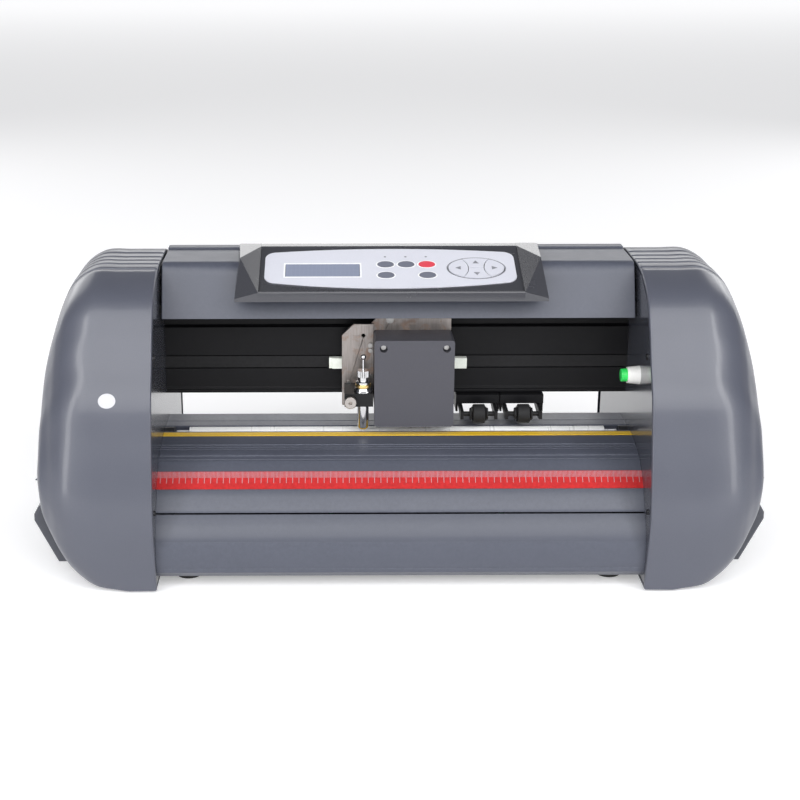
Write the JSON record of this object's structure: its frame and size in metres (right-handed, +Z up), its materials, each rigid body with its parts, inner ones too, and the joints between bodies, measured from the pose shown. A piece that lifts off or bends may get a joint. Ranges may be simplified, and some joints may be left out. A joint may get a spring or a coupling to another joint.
{
  "type": "vinyl cutter",
  "caption": "Desktop roll-fed vinyl cutter with rounded end caps, a belt-driven blade carriage, a grit roller, pinch wheels and a sloping control panel.",
  "frame": {"origin": "centre of the footprint on the surface that the rubber feet stand on", "axes": "+Z up, +X to the right along the cutter's width, -Y towards the user"},
  "size_m": [0.5864, 0.252, 0.2494],
  "materials": {
    "grey_plastic": "satin moulded plastic with a fine grain",
    "casing_grey": "fine-textured powder coat",
    "side_plate_grey": "smooth glossy paint",
    "foot_grey": "dark satin plastic",
    "black_steel": "black powder coat",
    "rubber": "matt",
    "yellow_strip": "soft satin strip",
    "red_ruler": "printed film",
    "roller_steel": "fine knurl",
    "gear_brass": "machined",
    "bearing_black": "dark steel",
    "black_aluminium": "black anodised",
    "belt_rubber": "matt",
    "motor_metal": "black laminated steel",
    "pulley_aluminium": "machined",
    "bare_steel": "bare, with brown stains",
    "cover_grey": "fine grain",
    "screw_steel": "zinc plated",
    "white_nylon": "white nylon",
    "coil_copper": "enamelled winding",
    "black_holder": "black anodised",
    "chrome_tool": "polished",
    "nickel_screw": "nickel plated",
    "wheel_rubber": "matt",
    "panel_grey": "glossy moulded plastic",
    "membrane_silver": "silver printed film",
    "lcd_glass": "blue-grey display",
    "board_green": "circuit board",
    "socket_black": "black",
    "switch_black": "black",
    "white_button": "white",
    "green_button": "green",
    "key_grey": "printed grey",
    "key_red": "printed red",
    "key_silver": "silver with a grey outline"
  },
  "bodies": {
    "root": {"left_end_cap": "grey_plastic", "right_end_cap": "grey_plastic", "left_side_plate": "side_plate_grey", "right_side_plate": "side_plate_grey", "side_feet": "foot_grey", "base_pan": "black_steel", "rubber_feet": "rubber", "front_platen": "casing_grey", "rear_platen": "casing_grey", "cutting_strip": "yellow_strip", "ruler_strip": "red_ruler", "front_cover": "casing_grey", "roller_bearings": "bearing_black", "feed_motor": "motor_metal", "rail_beam": "black_aluminium", "carriage_belt": "belt_rubber", "carriage_motor": "motor_metal", "top_casing": "casing_grey", "rear_casing": "casing_grey", "panel_housing": "panel_grey", "membrane": "membrane_silver", "lcd_display": "lcd_glass", "main_board": "board_green", "power_inlet": "socket_black", "pause_bezel": "white_button", "wall_screws": "screw_steel"},
    "drive_roller": {"drive_roller": "roller_steel", "roller_gear": "gear_brass"},
    "motor_pinion": {"motor_pinion": "gear_brass"},
    "motor_pulley": {"motor_pulley": "pulley_aluminium"},
    "idler_pulley": {"idler_pulley": "pulley_aluminium"},
    "carriage": {"carriage_plate": "bare_steel", "bearing_block": "bare_steel", "carriage_cover": "cover_grey", "carriage_screws": "screw_steel", "tool_plate": "bare_steel", "belt_clamps": "white_nylon", "lifter_coil": "coil_copper"},
    "tool_head": {"holder_block": "black_holder", "blade_holder": "chrome_tool"},
    "clamp_screw": {"clamp_screw": "nickel_screw"},
    "depth_cap": {"depth_cap": "chrome_tool"},
    "eject_pin": {"eject_pin": "chrome_tool"},
    "left_pinch_unit": {"left_pinch_housing": "black_aluminium"},
    "left_pinch_arm": {"left_pinch_arm": "black_holder"},
    "left_pinch_wheel": {"left_pinch_wheel": "wheel_rubber"},
    "right_pinch_unit": {"right_pinch_housing": "black_aluminium"},
    "right_pinch_arm": {"right_pinch_arm": "black_holder"},
    "right_pinch_wheel": {"right_pinch_wheel": "wheel_rubber"},
    "pause_button": {"pause_button": "green_button"},
    "power_switch": {"power_switch": "switch_black"},
    "key_pause": {"key_pause": "key_grey"},
    "key_speed": {"key_speed": "key_grey"},
    "key_setting": {"key_setting": "key_red"},
    "key_test": {"key_test": "key_grey"},
    "key_origin": {"key_origin": "key_grey"},
    "key_up": {"key_up": "key_silver"},
    "key_down": {"key_down": "key_silver"},
    "key_left": {"key_left": "key_silver"},
    "key_right": {"key_right": "key_silver"}
  },
  "joints": [
    {"name": "roller_spin", "type": "hinge", "parent": "root", "child": "drive_roller", "pos_m": [0, -0.018, 0.0955], "axis": [1, 0, 0], "continuous": true},
    {"name": "pinion_spin", "type": "hinge", "parent": "root", "child": "motor_pinion", "pos_m": [0.202, -0.018, 0.0635], "axis": [1, 0, 0], "continuous": true},
    {"name": "carriage_slide", "type": "slide", "parent": "root", "child": "carriage", "axis": [1, 0, 0], "range_m": [-0.13, 0.13]},
    {"name": "motor_pulley_spin", "type": "hinge", "parent": "root", "child": "motor_pulley", "pos_m": [-0.214, 0.015, 0.155], "axis": [0, 0, 1], "range_deg": [-640, 640]},
    {"name": "idler_pulley_spin", "type": "hinge", "parent": "root", "child": "idler_pulley", "pos_m": [0.214, 0.015, 0.155], "axis": [0, 0, 1], "range_deg": [-640, 640]},
    {"name": "tool_drop", "type": "slide", "parent": "carriage", "child": "tool_head", "axis": [0, 0, -1], "range_m": [0, 0.0032], "stiffness_N_per_m": 400, "springref_m": -0.004},
    {"name": "clamp_screw_turn", "type": "hinge", "parent": "tool_head", "child": "clamp_screw", "pos_m": [-0.0387, -0.041, 0.1328], "axis": [0, -1, 0], "range_deg": [-180, 180]},
    {"name": "depth_cap_turn", "type": "hinge", "parent": "tool_head", "child": "depth_cap", "pos_m": [-0.0282, -0.032, 0.1535], "axis": [0, 0, 1], "range_deg": [-170, 170]},
    {"name": "pin_press", "type": "slide", "parent": "tool_head", "child": "eject_pin", "axis": [0, 0, -1], "range_m": [0, 0.003], "stiffness_N_per_m": 300, "springref_m": -0.002},
    {"name": "left_pinch_slide", "type": "slide", "parent": "root", "child": "left_pinch_unit", "axis": [1, 0, 0], "range_m": [-0.235, 0]},
    {"name": "left_pinch_press", "type": "hinge", "parent": "left_pinch_unit", "child": "left_pinch_arm", "pos_m": [0.068, 0.014, 0.119], "axis": [1, 0, 0], "range_deg": [0, 5.4]},
    {"name": "left_wheel_spin", "type": "hinge", "parent": "left_pinch_arm", "child": "left_pinch_wheel", "pos_m": [0.068, -0.018, 0.1147], "axis": [1, 0, 0], "continuous": true},
    {"name": "right_pinch_slide", "type": "slide", "parent": "root", "child": "right_pinch_unit", "axis": [1, 0, 0], "range_m": [0, 0.065]},
    {"name": "right_pinch_press", "type": "hinge", "parent": "right_pinch_unit", "child": "right_pinch_arm", "pos_m": [0.1049, 0.014, 0.119], "axis": [1, 0, 0], "range_deg": [0, 5.4]},
    {"name": "right_wheel_spin", "type": "hinge", "parent": "right_pinch_arm", "child": "right_pinch_wheel", "pos_m": [0.1049, -0.018, 0.1147], "axis": [1, 0, 0], "continuous": true},
    {"name": "pause_press", "type": "slide", "parent": "root", "child": "pause_button", "axis": [1, 0, 0], "range_m": [0, 0.0025], "stiffness_N_per_m": 400, "springref_m": -0.001},
    {"name": "power_rock", "type": "hinge", "parent": "root", "child": "power_switch", "pos_m": [0.109, 0.107, 0.024], "axis": [-1, 0, 0], "range_deg": [0, 10]},
    {"name": "key_pause_press", "type": "slide", "parent": "root", "child": "key_pause", "axis": [0, 0.3194, -0.9476], "range_m": [0, 0.0004], "stiffness_N_per_m": 500, "springref_m": -0.0003},
    {"name": "key_speed_press", "type": "slide", "parent": "root", "child": "key_speed", "axis": [0, 0.3194, -0.9476], "range_m": [0, 0.0004], "stiffness_N_per_m": 500, "springref_m": -0.0003},
    {"name": "key_setting_press", "type": "slide", "parent": "root", "child": "key_setting", "axis": [0, 0.3194, -0.9476], "range_m": [0, 0.0004], "stiffness_N_per_m": 500, "springref_m": -0.0003},
    {"name": "key_test_press", "type": "slide", "parent": "root", "child": "key_test", "axis": [0, 0.3194, -0.9476], "range_m": [0, 0.0004], "stiffness_N_per_m": 500, "springref_m": -0.0003},
    {"name": "key_origin_press", "type": "slide", "parent": "root", "child": "key_origin", "axis": [0, 0.3194, -0.9476], "range_m": [0, 0.0004], "stiffness_N_per_m": 500, "springref_m": -0.0003},
    {"name": "key_up_press", "type": "slide", "parent": "root", "child": "key_up", "axis": [0, 0.3194, -0.9476], "range_m": [0, 0.0004], "stiffness_N_per_m": 500, "springref_m": -0.0003},
    {"name": "key_down_press", "type": "slide", "parent": "root", "child": "key_down", "axis": [0, 0.3194, -0.9476], "range_m": [0, 0.0004], "stiffness_N_per_m": 500, "springref_m": -0.0003},
    {"name": "key_left_press", "type": "slide", "parent": "root", "child": "key_left", "axis": [0, 0.3194, -0.9476], "range_m": [0, 0.0004], "stiffness_N_per_m": 500, "springref_m": -0.0003},
    {"name": "key_right_press", "type": "slide", "parent": "root", "child": "key_right", "axis": [0, 0.3194, -0.9476], "range_m": [0, 0.0004], "stiffness_N_per_m": 500, "springref_m": -0.0003}
  ],
  "couplings": [
    {"joint": "pinion_spin", "follows": "roller_spin", "ratio": -3},
    {"joint": "motor_pulley_spin", "follows": "carriage_slide", "rad_per_m": 85.47},
    {"joint": "idler_pulley_spin", "follows": "carriage_slide", "rad_per_m": 85.47}
  ]
}
